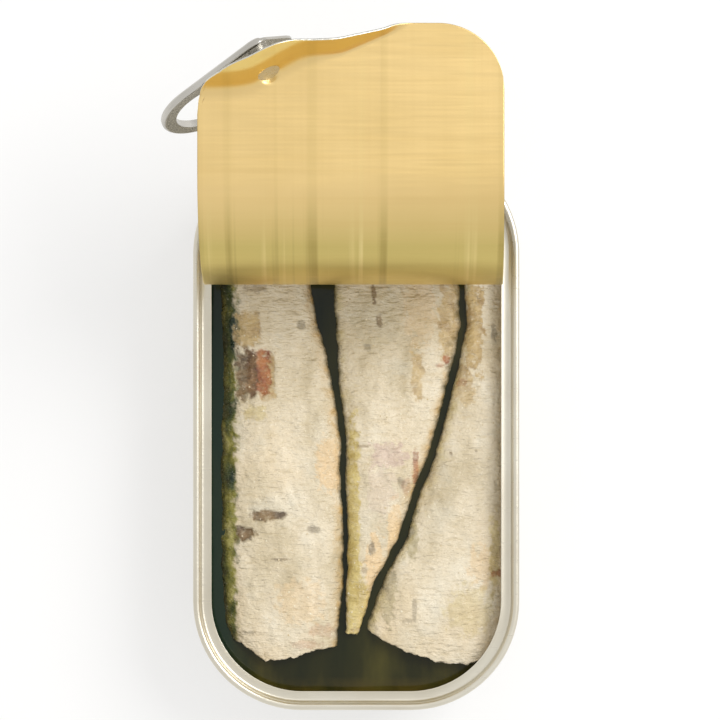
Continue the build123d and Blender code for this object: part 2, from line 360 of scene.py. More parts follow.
@dataclass(frozen=True)
class SheetFinish:
    """Rolled sheet metal, bare or lacquered: fine rolling lines, clouding and small dents.

    Args:
        name: The material's name.
        tint: The sheet's colour.
        shade: The colour of its clouded places.
        roughness: Its middle roughness.
    """

    name: str
    tint: Colour
    shade: Colour
    roughness: float

    def make(self) -> bpy.types.Material:
        """The finished material."""
        m = Material(self.name)
        sheet = m.sheet_metal(dent_scale=120.0)
        lines = sheet.outputs["Lines"]
        m.colour(m.mix(m.range(sheet.outputs["Clouds"], 0.35, 0.7), self.tint, self.shade))
        m.roughness(m.range(lines, 0.3, 0.7, self.roughness - 0.05, self.roughness + 0.08))
        m.value(Metallic=1.0)
        m.bump([(sheet.outputs["Dents"], 0.00004), (lines, 0.000004)])
        return m.material


@dataclass(frozen=True)
class GoldFinish:
    """Gold lacquer inside the lid: painted shade dulls the curl, and soft streaks run along the sheet.

    Args:
        name: The material's name.
        flat_z, dull_z: Heights between which the curl's painted shade sets in, in metres.
        low_z, under_z: Heights between which a yellower painted tone takes over lower down the curl.
        flap_z, bent_z: Heights between which the bent corner gets a painted deeper gold, a painted
            reflection.
        roughness: The lacquer's middle roughness.
    """

    name: str = "gold_lacquer"
    flat_z: float = 0.0571
    dull_z: float = 0.0525
    low_z: float = 0.0450
    under_z: float = 0.0400
    flap_z: float = 0.0578
    bent_z: float = 0.0592
    roughness: float = 0.36

    def make(self) -> bpy.types.Material:
        """The finished material."""
        m = Material(self.name)
        sheet, height = m.sheet_metal(dent_scale=110.0), m.axis("Z")
        base = m.mix(m.range(sheet.outputs["Clouds"], 0.35, 0.7), srgb(238, 208, 145), srgb(231, 201, 137))
        # Painted shade: the curl turns olive as it bends down, and lower on it a yellower painted tone takes
        # over.
        curl_shade = m.range(height, self.flat_z, self.dull_z)
        base = m.mix(curl_shade, base, srgb(210, 190, 118))
        base = m.mix(m.range(height, self.low_z, self.under_z), base, srgb(226, 200, 114))
        # Painted reflection: the bent-up corner is painted a deeper gold, as if it mirrored the gold sheet
        # beside it.
        base = m.mix(m.range(height, self.flap_z, self.bent_z), base, srgb(240, 212, 132))
        streaks = m.noise(330.0, 3.0, (1.0, 0.01, 0.01))
        shown = m.range(curl_shade, 0.0, 1.0, 0.12, 0.8)
        for low, high, tone in ((0.56, 0.66, srgb(178, 158, 92)), (0.42, 0.34, srgb(236, 216, 150))):
            base = m.mix(m.math("MULTIPLY", m.range(streaks, low, high), shown), base, tone)
        bands = m.noise(520.0, 2.0, (0.02, 1.0, 1.0))
        base = m.mix(m.range(bands, 0.5, 0.75, 0.0, 0.25), base, srgb(222, 190, 124))
        m.colour(base)
        lines = sheet.outputs["Lines"]
        m.roughness(m.range(lines, 0.3, 0.7, self.roughness - 0.04, self.roughness + 0.06))
        m.value(Metallic=1.0)
        m.bump([(sheet.outputs["Dents"], 0.00004), (streaks, 0.00004), (lines, 0.000002)])
        return m.material


@dataclass(frozen=True)
class ScaleFinish:
    """Thin silvery scales and shreds of skin.

    Args:
        name: The material's name.
    """

    name: str = "loose_scale"

    def make(self) -> bpy.types.Material:
        """The finished material."""
        m = Material(self.name)
        m.colour(m.mix(m.range(m.noise(900.0, 2.0), 0.4, 0.6), srgb(236, 226, 200), srgb(204, 184, 144)))
        m.roughness(m.range(m.noise(1400.0, 2.0), 0.3, 0.7, 0.18, 0.4))
        m.value(Specular_IOR_Level=0.6)
        m.bump([(m.noise(2200.0, 2.0), 0.00005)])
        return m.material


@dataclass(frozen=True)
class SkinFinish:
    """Moist cooked sardine skin: cream and silver, yellow at the seams, with torn brown places.

    Args:
        name: The material's name.
    """

    name: str = "sardine_skin"

    def make(self) -> bpy.types.Material:
        """The finished material."""
        m = Material(self.name)
        cloud = m.noise(150.0, 6.0, (1.0, 0.6, 1.0))
        base = m.ramp(m.range(cloud, 0.28, 0.72), [
            (0.0, srgb(196, 180, 146)), (0.3, srgb(218, 203, 172)), (0.6, srgb(229, 215, 187)),
            (1.0, srgb(238, 228, 205))])
        warm = m.range(m.noise(70.0, 3.0, (1.0, 0.5, 1.0)), 0.52, 0.74, 0.0, 0.5)
        base = m.mix(warm, base, srgb(232, 204, 158))
        creases = m.noise(800.0, 5.0, (0.35, 1.6, 1.0))
        # Painted shade: the skin is darkened in the hollows of its creases.
        base = m.mix(m.range(creases, 0.3, 0.45, 0.3, 0.0), base, srgb(196, 174, 128))
        cool = m.range(m.noise(110.0, 3.0), 0.55, 0.75, 0.0, 0.4)
        base = m.mix(cool, base, srgb(216, 214, 200))
        broken = m.noise(420.0, 5.0)
        for side, tone in (("left_edge", srgb(206, 188, 128)), ("right_edge", srgb(205, 168, 104))):
            cover = m.math("MULTIPLY", m.attribute(side), m.range(broken, 0.36, 0.62, 0.1, 0.95))
            base = m.mix(cover, base, tone)
        ragged = m.range(m.noise(1000.0, 4.0), 0.3, 0.5, 0.6, 1.0)
        for stain, tone, dark in (
            (Stain.PEACH, srgb(238, 206, 158), srgb(226, 196, 150)),
            (Stain.PINK, srgb(221, 199, 180), srgb(206, 182, 164)),
            (Stain.YELLOW, srgb(214, 194, 126), srgb(184, 160, 84)),
            (Stain.TAN, srgb(204, 176, 120), srgb(168, 136, 84)),
            (Stain.OLIVE, srgb(160, 146, 86), srgb(106, 98, 48)),
            (Stain.GREY, srgb(160, 148, 124), srgb(124, 110, 90)),
            (Stain.RED, srgb(186, 116, 66), srgb(130, 60, 34)),
            (Stain.TORN, srgb(132, 104, 66), srgb(80, 60, 40)),
        ):
            cover = m.math("MULTIPLY", m.attribute(stain.value), ragged)
            base = m.mix(cover, base, m.mix(m.range(broken, 0.35, 0.6), dark, tone))
        speckle = m.ramp(m.range(m.noise(300.0, 6.0, (1.0, 0.45, 1.0)), 0.34, 0.68), [
            (0.0, srgb(34, 52, 38)), (0.35, srgb(82, 90, 46)), (0.65, srgb(146, 140, 66)),
            (1.0, srgb(204, 194, 130))])
        base = m.mix(m.attribute("flank"), base, speckle)
        base = m.mix(m.attribute("deep"), base, srgb(70, 64, 28))
        fleck = m.range(m.noise(3000.0, 2.0), 0.66, 0.72, 0.0, 0.3)
        base = m.mix(fleck, base, srgb(250, 244, 226))
        dark = m.range(m.noise(1500.0, 4.0, (0.8, 1.1, 1.0)), 0.28, 0.36, 0.3, 0.0)
        m.colour(m.mix(dark, base, srgb(158, 136, 94)))
        m.roughness(m.range(m.noise(600.0, 3.0), 0.3, 0.7, 0.16, 0.45))
        m.value(Specular_IOR_Level=0.6)
        m.bump([(m.noise(520.0, 5.0, (0.8, 1.2, 1.0)), 0.0005), (creases, 0.0004),
                (m.noise(1900.0, 4.0, (0.6, 1.4, 1.0)), 0.00025)])
        return m.material


@dataclass(frozen=True)
class OilFinish:
    """Dark olive oil, with painted dark teal shade beside the left wall, and browner at the near end.

    Args:
        name: The material's name.
        strip_starts, strip_full: The x between which the painted teal shade sets in, in metres.
        end_starts, end_full: The y between which the brown sets in, in metres.
    """

    name: str = "oil_surface"
    strip_starts: float = -0.018
    strip_full: float = -0.024
    end_starts: float = -0.0465
    end_full: float = -0.0495

    def make(self) -> bpy.types.Material:
        """The finished material."""
        m = Material(self.name)
        base = m.ramp(m.range(m.noise(90.0, 4.0, (1.0, 0.3, 1.0)), 0.3, 0.7), [
            (0.0, srgb(20, 28, 14)), (0.5, srgb(44, 44, 18)), (1.0, srgb(84, 78, 32))])
        # Painted shade: the oil turns dark teal beside the left wall.
        strip = m.range(m.axis("X"), self.strip_starts, self.strip_full, 0.0, 0.85)
        base = m.mix(strip, base, srgb(18, 44, 34))
        near_end = m.range(m.axis("Y"), self.end_starts, self.end_full)
        glow = m.math("MULTIPLY", near_end, m.range(m.noise(160.0), 0.35, 0.6))
        base = m.mix(glow, base, srgb(84, 72, 28))
        m.colour(base)
        m.roughness(m.range(m.noise(90.0), 0.3, 0.7, 0.04, 0.1))
        m.value(Specular_IOR_Level=0.25)
        m.bump([(m.noise(60.0, 2.0), 0.0002)])
        return m.material


# --- the tin's outline ----------------------------------------------------------------------------
@dataclass(frozen=True)
class RoundedOutline:
    """A rounded rectangle about the origin, its length along Y, in millimetres.

    Args:
        length, width: Its overall size.
        radius: Radius of its corners.
    """

    length: float
    width: float
    radius: float

    def ring(self, inset: float, height: float, per_corner: int = 20, per_side: int = 12) -> list[Vector]:
        """Points round the outline, moved inwards, at a height.

        Args:
            inset: How far inwards.
            height: The points' z.
            per_corner: Steps in each corner.
            per_side: Steps along each straight.

        Returns:
            The points, anticlockwise.
        """
        radius = self.radius - inset
        cx, cy = self.width / 2 - self.radius, self.length / 2 - self.radius
        points: list[Vector] = []
        corners = ((1, 1), (-1, 1), (-1, -1), (1, -1))
        for quarter, (side, end_side) in enumerate(corners):
            for k in range(per_corner + 1):
                angle = math.pi / 2 * (quarter + k / per_corner)
                x, y = side * cx + radius * math.cos(angle), end_side * cy + radius * math.sin(angle)
                points.append(Vector((x, y, height)))
            next_side, next_end = corners[(quarter + 1) % 4]
            x, y = next_side * cx + radius * math.cos(angle), next_end * cy + radius * math.sin(angle)
            start, end = points[-1].copy(), Vector((x, y, height))
            points.extend(start.lerp(end, k / per_side) for k in range(1, per_side))
        return points


@dataclass(frozen=True)
class Tin:
    """The driving sizes of the tin, in millimetres, the same as the frame's.

    Args:
        length, width, height: The tin's size over its seam.
        corner: Radius of the seam's corners.
        seam: Thickness of the double seam.
        ledge: Width of the ledge that stays inside the seam.
        panel_z: Height of the top of the ledge.
        sheet: Thickness of the metal.
        body_inset: How far the body's wall lies inside the seam.
        oil_level: Height of the oil.
    """

    length: float = 104.0
    width: float = 60.0
    height: float = 22.0
    corner: float = 20.0
    seam: float = 1.3
    ledge: float = 2.0
    panel_z: float = 19.6
    sheet: float = 0.35
    body_inset: float = 0.55
    oil_level: float = 13.8

    @property
    def outline(self) -> RoundedOutline:
        """The outline of the seam."""
        return RoundedOutline(self.length, self.width, self.corner)

    @property
    def opening_inset(self) -> float:
        """How far the torn edge lies inside the seam's outline."""
        return self.seam + self.ledge


# --- rim ------------------------------------------------------------------------------------------
@dataclass
class Rim:
    """The double seam, the countersunk wall and the ledge that stays when the panel is torn out.

    Args:
        tin: The tin it closes.
    """

    tin: Tin

    def profile(self) -> list[tuple[float, float]]:
        """Inset and height of the rim's section, once round."""
        top, ledge_z, sheet = self.tin.height, self.tin.panel_z, self.tin.sheet
        inner, torn = self.tin.seam, self.tin.opening_inset
        crown = [(0.62 - 0.62 * math.cos(math.pi * k / 10), top - 0.5 + 0.5 * math.sin(math.pi * k / 10))
                 for k in range(11)]
        outside = [(0.34, top - 2.9), (0.12, top - 2.85), (0.0, top - 2.6), (0.0, top - 1.6)]
        wall = [(inner, top - 1.0), (inner + 0.03, ledge_z + 0.55), (inner + 0.12, ledge_z + 0.22),
                (inner + 0.35, ledge_z + 0.03), (inner + 0.6, ledge_z)]
        lip = [(torn - 0.25, ledge_z), (torn - 0.08, ledge_z + 0.1), (torn, ledge_z + 0.06),
               (torn - 0.02, ledge_z - 0.14), (torn - 0.2, ledge_z - sheet)]
        under = [(inner + 0.5, ledge_z - sheet), (inner - sheet + 0.05, ledge_z - sheet)]
        return outside + crown + wall + lip + under

    def build(self, finish: bpy.types.Material) -> bpy.types.Object:
        """The rim's mesh."""
        shell = Shell("rim")
        rows = [self.tin.outline.ring(inset, height) for inset, height in self.profile()]
        index = shell.grid(rows, closed=True)
        shell.strip(index[-1] + index[-1][:1], index[0] + index[0][:1])
        return shell.build([finish])


# --- peeled panel ---------------------------------------------------------------------------------
@dataclass
class PeeledPanel:
    """The torn-out panel, rolled back on itself, with its tab corner folded up.

    Args:
        tin: The tin it was torn from.
        tear_front: Where along the tin the sheet leaves the ledge.
        curl: Radius of the roll.
        free_end: How far the flat top reaches.
        shift: How far the flat top has slid sideways.
        free_corner, tab_corner: Radii of the free end's two corners.
        crease: The line, in plan, along which the tab corner is bent up.
        bend, sharp_bend: How much sheet the bend takes at the crease's soft and sharp ends.
        sharpening: The stretch of x over which the bend goes from soft to sharp.
        flap_angle: Slope of the bent corner, in degrees.
        ridge, ridge_width: How far past the crease the corner bends back, and how much sheet that takes.
        band_angle: Slope beyond the ridge, in degrees.
        fade: The stretch of x over which the crease runs out.
        rivet: The rivet's place on the sheet before the corner is bent.
        dimple, dimple_depth, dimple_edge: Radius, depth and softness of the dimple at the rivet.
        columns, ledge_rows, curl_rows, flat_rows: How finely the sheet is divided.
        evenness: Share of the columns that is spread evenly; the rest crowds to the sides.
        row_spread: Power that crowds the flat top's rows to its free end.
        crease_samples, bend_steps: How finely the crease and the bend are worked out.
    """

    tin: Tin
    tear_front: float = 45.0
    curl: float = 18.9
    free_end: float = 71.0
    shift: float = -0.9
    free_corner: float = 11.5
    tab_corner: float = 16.0
    crease: SmoothPath = SmoothPath(((-34.0, 56.6), (-26.5, 56.8), (-16.5, 57.9), (-9.8, 61.4), (-2.0, 65.0),
                                     (5.0, 68.0), (13.0, 71.4)))
    bend: float = 5.0
    sharp_bend: float = 1.6
    sharpening: tuple[float, float] = (-9.0, -1.0)
    flap_angle: float = 68.0
    ridge: float = 8.6
    ridge_width: float = 1.6
    band_angle: float = 50.0
    fade: tuple[float, float] = (5.0, 12.0)
    rivet: tuple[float, float] = (-15.4, 62.6)
    dimple: float = 1.7
    dimple_depth: float = 1.0
    dimple_edge: float = 0.16
    columns: int = 150
    ledge_rows: int = 7
    curl_rows: int = 90
    flat_rows: int = 110
    evenness: float = 0.55
    row_spread: float = 0.8
    crease_samples: int = 400
    bend_steps: int = 24

    def __post_init__(self) -> None:
        """Works out the crease and the middle of the sheet."""
        self.spots, self.tangents = self.crease.samples(self.crease_samples)
        self.half = self.tin.width / 2 - self.tin.opening_inset
        self.top_z = self.tin.panel_z - self.tin.sheet / 2 + 2 * self.curl

    def slope(self, distance: float, steepest: float, bend: float) -> float:
        """Slope of the flap, in degrees, at a distance from the crease along the sheet."""
        past_ridge = smoothstep((distance - self.ridge) / self.ridge_width + 0.5)
        eased = (min(self.band_angle, steepest) - steepest) * past_ridge
        return steepest * smoothstep(distance / bend) + eased

    def flap(self, distance: float, steepest: float, bend: float) -> tuple[float, float]:
        """How far out and up the flap has gone at a distance from the crease."""
        step = distance / self.bend_steps
        slopes = [math.radians(self.slope((k + 0.5) * step, steepest, bend)) for k in range(self.bend_steps)]
        return sum(map(math.cos, slopes)) * step, sum(map(math.sin, slopes)) * step

    def flat_point(self, x: float, y: float) -> Vector:
        """Where a point of the flat top lies once the corner is bent up."""
        k = int(np.argmin(np.hypot(self.spots[:, 0] - x, self.spots[:, 1] - y)))
        (px, py), (tx, ty) = self.spots[k], self.tangents[k]
        distance = (x - px) * -ty + (y - py) * tx
        if distance <= 0:
            return Vector((x, y, self.top_z))
        faded, sharp = (smoothstep((px - start) / (end - start))
                        for start, end in (self.fade, self.sharpening))
        steepest = self.flap_angle * (1 - faded)
        out, up = self.flap(distance, steepest, self.bend + (self.sharp_bend - self.bend) * sharp)
        return Vector((px - ty * out, py + tx * out, self.top_z + up))

    def opening_half(self, y: float) -> float:
        """Half the opening's width at y, inside its rounded far corners."""
        radius = self.tin.corner - self.tin.opening_inset
        start = self.tin.length / 2 - self.tin.opening_inset - radius
        reach = min(max(y - start, 0.0), radius)
        return self.half - radius + math.sqrt(radius**2 - reach**2)

    def free_end_at(self, x: float) -> float:
        """The y of the free end at x, inside its two rounded corners."""
        for side, radius in ((-1, self.tab_corner), (1, self.free_corner)):
            reach = side * (x - self.shift) - self.half + radius
            if reach > 0:
                return self.free_end - radius + math.sqrt(max(radius**2 - reach**2, 0.0))
        return self.free_end

    def middle(self) -> list[list[Vector]]:
        """The middle of the sheet, row by row, from the ledge to the free end."""
        shares = [self.evenness * u + (1 - self.evenness) * math.sin(math.pi * u / 2)
                  for u in np.linspace(-1, 1, self.columns + 1)]
        low_z = self.tin.panel_z - self.tin.sheet / 2
        far_edge = self.tin.length / 2 - self.tin.opening_inset
        rows = [[Vector((s * self.opening_half(y), y, low_z)) for s in shares]
                for y in np.linspace(far_edge - 0.05, self.tear_front, self.ledge_rows)[:-1]]
        for angle in np.linspace(0, math.pi, self.curl_rows + 1)[:-1]:
            half = self.opening_half(self.tear_front - self.curl * angle)
            shift = self.shift * smoothstep(angle / math.pi)
            y = self.tear_front - self.curl * math.sin(angle)
            z = low_z + self.curl * (1 - math.cos(angle))
            rows.append([Vector((s * half + shift, y, z)) for s in shares])
        for along in np.linspace(0, 1, self.flat_rows + 1):
            row = []
            for s in shares:
                x = s * self.half + self.shift
                reach = (self.free_end_at(x) - self.tear_front) * along**self.row_spread
                row.append(self.flat_point(x, self.tear_front + reach))
            rows.append(row)
        return rows

    def build(self, inner: bpy.types.Material, outer: bpy.types.Material) -> bpy.types.Object:
        """The panel with a gold inner face and a silver outer one.

        Args:
            inner: Finish of the face that looked into the tin.
            outer: Finish of the outside and the torn edges.

        Returns:
            The finished panel.
        """
        rows = self.middle()
        grid = np.array([[tuple(v) for v in row] for row in rows])
        normals = np.cross(np.gradient(grid, axis=1), np.gradient(grid, axis=0))
        normals /= np.linalg.norm(normals, axis=2)[:, :, None]
        half = self.tin.sheet / 2
        flat_rows = grid[-self.flat_rows - 1:]
        seat = np.array(tuple(self.flat_point(*self.rivet)))
        near = np.linalg.norm(flat_rows - seat, axis=2)
        sink = self.dimple_depth / (1 + np.exp((near - self.dimple) / self.dimple_edge))
        flat_rows -= normals[-self.flat_rows - 1:] * sink[:, :, None]
        shell = Shell("peeled_panel")
        gold = shell.grid([[Vector(p) for p in row] for row in grid + normals * half], slot=0)
        silver = shell.grid([[Vector(p) for p in row] for row in grid - normals * half], slot=1)
        for end in (0, -1):
            shell.strip(gold[end], silver[end], slot=1)
            shell.strip([row[end] for row in gold], [row[end] for row in silver], slot=1)
        return shell.build([inner, outer])


@dataclass
class Rivet:
    """The round post of the rivet that holds the ring to the lid.

    Args:
        panel: The panel it is set in.
        radius: Its radius.
        standoff: How far the ring stands off the sheet at the rivet.
        ring_thickness: Thickness of the ring.
        edge: Size of the outer edge's bevel.
        around: Points round it.
        probe: How far from the rivet the sheet's slope is felt.
    """

    panel: PeeledPanel
    radius: float = 2.1
    standoff: float = 3.0
    ring_thickness: float = 1.4
    edge: float = 0.15
    around: int = 48
    probe: float = 0.4

    def build(self, finish: bpy.types.Material) -> bpy.types.Object:
        """The closed rivet.

        Args:
            finish: Its material.

        Returns:
            The finished piece.
        """
        seat = self.panel.flat_point(*self.panel.rivet)
        x, y = self.panel.rivet
        along = self.panel.flat_point(x + self.probe, y) - seat
        beyond = self.panel.flat_point(x, y + self.probe) - seat
        out = along.cross(beyond).normalized()
        if out.y > 0:
            out = -out
        side = along.normalized()
        other = out.cross(side).normalized()
        length = self.panel.tin.sheet / 2 + self.standoff + self.ring_thickness
        profile = ((0.0, self.radius), (length - self.edge, self.radius), (length, self.radius - self.edge))
        turns = [2 * math.pi * k / self.around for k in range(self.around)]
        shell = Shell("ring_rivet")
        spokes = [side * math.cos(turn) + other * math.sin(turn) for turn in turns]
        rows = [[seat - out * height + spoke * radius for spoke in spokes] for height, radius in profile]
        index = shell.grid(rows, closed=True)
        for end in (index[0], index[-1]):
            shell.faces.append(tuple(end))
            shell.slots.append(0)
        return shell.build([finish], smooth=False)


# --- sardines -------------------------------------------------------------------------------------
Line = tuple[tuple[float, float], ...]


def value_at(line: Line, place: float | np.ndarray) -> float | np.ndarray:
    """A line's value at one place or many, straight between its points."""
    return np.interp(place, [point[0] for point in line], [point[1] for point in line])


class Stain(Enum):
    """What a mark on the skin is; the value is the mask's name on the mesh."""

    TORN = "torn"
    RED = "red"
    TAN = "tan"
    GREY = "grey"
    PEACH = "peach"
    PINK = "pink"
    OLIVE = "olive"
    YELLOW = "yellow"


@dataclass(frozen=True)
class Mark:
    """A torn or stained place on a fish: a rounded box in plan, in millimetres.

    Args:
        stain: What the place looks like.
        x, y: Its middle.
        wide, long: Its size across and along the fish.
        strength: How fully it covers the skin.
        sunk: How far the skin is gone there.
        ragged: How uneven its edge is.
        boxy: From 0, an oval, to 1, a box.
    """

    stain: Stain
    x: float
    y: float
    wide: float
    long: float
    strength: float = 1.0
    sunk: float = 0.0
    ragged: float = 0.6
    boxy: float = 0.2

    def cover(self, points: np.ndarray, jag: np.ndarray) -> np.ndarray:
        """How much the mark covers each point, 0 to 1."""
        across = np.abs(points[:, 0] - self.x) / (self.wide / 2)
        along = np.abs(points[:, 1] - self.y) / (self.long / 2)
        reach = self.boxy * np.maximum(across, along) + (1 - self.boxy) * np.hypot(across, along)
        return np.clip((1.1 + jag * self.ragged - reach) / 0.22, 0, 1) * self.strength


@dataclass
class Sardine:
    """One sardine lying along Y between two limits, cut across at one end or tapering to its tail.

    Args:
        name: The piece's name.
        left, right: Limits as (y, x) pairs.
        far_y: Where the far end stands.
        cut: The cut end as (x, y) pairs, or the tail's end where there is none.
        back, underside: Heights as (y, z) pairs.
        free_left: Whether its left flank is free and slopes down into the oil.
        marks: Torn and stained places.
        seed: Where in the noise this fish lies.
        rows, top_columns, side_columns: How finely the fish is divided.
        pressed, free: Powers of the section where the fish is held and where its flank is free.
        end_reach: How far the shape of the cut end is carried into the fish.
        swell, fold, ripple, grain: Heights of the skin's unevenness, from the broadest to the finest.
        edge_reach: How far the seams' tones reach in from the limits.
        flank_x, flank_soft: Where a free flank's dark tones begin, and how softly.
        deep_z, deep_soft: The height below which the skin turns dark olive, and how softly that sets in.
        marks_above: Marks stay above this height.
    """

    name: str
    left: Line
    right: Line
    far_y: float
    cut: Line
    back: Line
    underside: Line
    free_left: bool = False
    marks: tuple[Mark, ...] = ()
    seed: float = 0.0
    rows: int = 300
    top_columns: int = 100
    side_columns: int = 44
    pressed: float = 4.5
    free: float = 2.5
    end_reach: float = 12.0
    swell: float = 0.55
    fold: float = 0.22
    ripple: float = 0.11
    grain: float = 0.07
    edge_reach: float = 2.4
    flank_x: float = -21.9
    flank_soft: float = 0.9
    deep_z: float = 14.9
    deep_soft: float = 1.2
    marks_above: float = 14.0

    @property
    def near_y(self) -> float:
        """Where the sections begin, at the middle of the cut."""
        return sum(y for _, y in self.cut) / len(self.cut)

    def limits(self, y: float) -> tuple[float, float]:
        """The fish's left and right limits at y, a little uneven."""
        left, right = (float(value_at(side, y)) for side in (self.left, self.right))
        rag = [noise.noise(Vector((y * k, self.seed, k))) for k in (0.35, 0.36, 1.3, 1.4)]
        return left + 0.25 * rag[0] + 0.12 * rag[2], right + 0.25 * rag[1] + 0.12 * rag[3]

    def directions(self) -> list[float]:
        """Angles of a section's points: even across the back, and then round the sides and below."""
        across = np.linspace(0.97, -0.97, self.top_columns)
        back = [math.atan2((1 - abs(u) ** self.pressed) ** (1 / self.pressed), u) for u in across]
        rest = np.linspace(back[-1], back[0] + 2 * math.pi, self.side_columns + 2)[1:-1]
        return back + [float(angle) for angle in rest]

    def skin(self, x: float, y: float) -> float:
        """Height of the skin's unevenness at a place: broad swells, folds and fine wrinkles."""
        broad = noise.noise(Vector((x * 0.14, y * 0.06, self.seed + 5))) * self.swell
        fold = noise.noise(Vector((x * 0.5 + 0.1 * y, y * 0.33, self.seed))) * self.fold
        warp = noise.noise(Vector((x * 0.3, y * 0.3, self.seed + 2))) * 1.6
        ripple = noise.noise(Vector((x * 0.7, y * 2.1 + warp, self.seed + 9))) * self.ripple
        grain = noise.noise(Vector((x * 2.6, y * 2.6, self.seed + 3))) * self.grain
        return broad + fold + ripple + grain

    def section(self, y: float, angles: Sequence[float]) -> list[Vector]:
        """The points of the section at y, from the right over the back."""
        left, right = self.limits(y)
        top, low = (float(value_at(line, y)) for line in (self.back, self.underside))
        hold = 1 - smoothstep((y - self.near_y) / self.end_reach)
        points = []
        for angle in angles:
            c, s = math.cos(angle), math.sin(angle)
            power = self.free if self.free_left and c < 0 else self.pressed
            reach = (abs(c) ** power + abs(s) ** power) ** (-1 / power)
            x = (left + right) / 2 + reach * c * (right - left) / 2
            z = (top + low) / 2 + reach * s * (top - low) / 2
            z += self.skin(x, y) * smoothstep(s * 1.6)
            rag = noise.noise(Vector((x * 1.1, self.seed, 1.0))) * 0.35
            rag += noise.noise(Vector((x * 3, 2.0, z))) * 0.15
            end = float(value_at(self.cut, x)) + rag
            points.append(Vector((x, y + (end - self.near_y) * hold, z)))
        return points

    def build(self, skin: bpy.types.Material) -> bpy.types.Object:
        """The fish's mesh with its masks."""
        shell, angles = Shell(self.name), self.directions()
        shares = np.linspace(0, 1, self.rows)
        rings = [self.section(self.near_y + (self.far_y - self.near_y) * t, angles) for t in shares]
        index = shell.grid(rings, closed=True)
        for ring, spots, bulge in ((rings[0], index[0], 0.0), (rings[-1], index[-1], 1.2)):
            centre, previous = sum(ring, Vector()) / len(ring), spots
            for share in (0.9, 0.75, 0.55, 0.3, 0.08):
                cap = [centre.lerp(point, share) for point in ring]
                for point in cap:
                    point.y += noise.noise(point * 0.8) * 0.4 + bulge * (1 - share)
                row = shell.grid([cap], closed=True)[0]
                shell.strip(previous + previous[:1], row + row[:1])
                previous = row
            shell.vertices.append(centre + Vector((0, bulge, 0)))
            tip = len(shell.vertices) - 1
            for a, b in zip(previous, previous[1:] + previous[:1]):
                shell.faces.append((a, b, tip))
                shell.slots.append(0)
        piece = shell.build([skin])
        self.paint(piece.data)
        return piece

    def paint(self, mesh: bpy.types.Mesh) -> None:
        """Sinks the torn places and stores the masks that the skin's finish reads."""
        count = len(mesh.vertices)
        flat = np.empty(count * 3)
        mesh.vertices.foreach_get("co", flat)
        co = flat.reshape(-1, 3) / MM
        sides = [value_at(side, co[:, 1]) for side in (self.left, self.right)]
        jag = np.array([noise.noise(Vector((x * 0.9, y * 0.9, self.seed))) for x, y, _ in co])
        jag += 0.5 * np.array([noise.noise(Vector((x * 2.7, y * 2.7, self.seed))) for x, y, _ in co])
        masks = {stain.value: np.zeros(count) for stain in Stain}
        masks["left_edge"] = np.clip(1 - (co[:, 0] - sides[0] + jag) / self.edge_reach, 0, 1)
        masks["right_edge"] = np.clip(1 - (sides[1] - co[:, 0] + jag) / self.edge_reach, 0, 1)
        flank = np.clip((self.flank_x - co[:, 0] - 1.2 * jag) / self.flank_soft, 0, 1)
        masks["flank"] = flank * float(self.free_left)
        masks["deep"] = np.clip((self.deep_z + 0.5 * jag - co[:, 2]) / self.deep_soft, 0, 1)
        sunk, upper = np.zeros(count), co[:, 2] > self.marks_above
        for mark in self.marks:
            cover = mark.cover(co, jag) * upper
            masks[mark.stain.value] = np.maximum(masks[mark.stain.value], cover)
            sunk = np.maximum(sunk, np.minimum(cover / max(mark.strength, 0.01), 1) * mark.sunk)
        co[:, 2] -= sunk
        mesh.vertices.foreach_set("co", (co * MM).ravel())
        for name, values in masks.items():
            layer = mesh.attributes.new(name, "FLOAT", "POINT")
            layer.data.foreach_set("value", values.astype(np.float32))


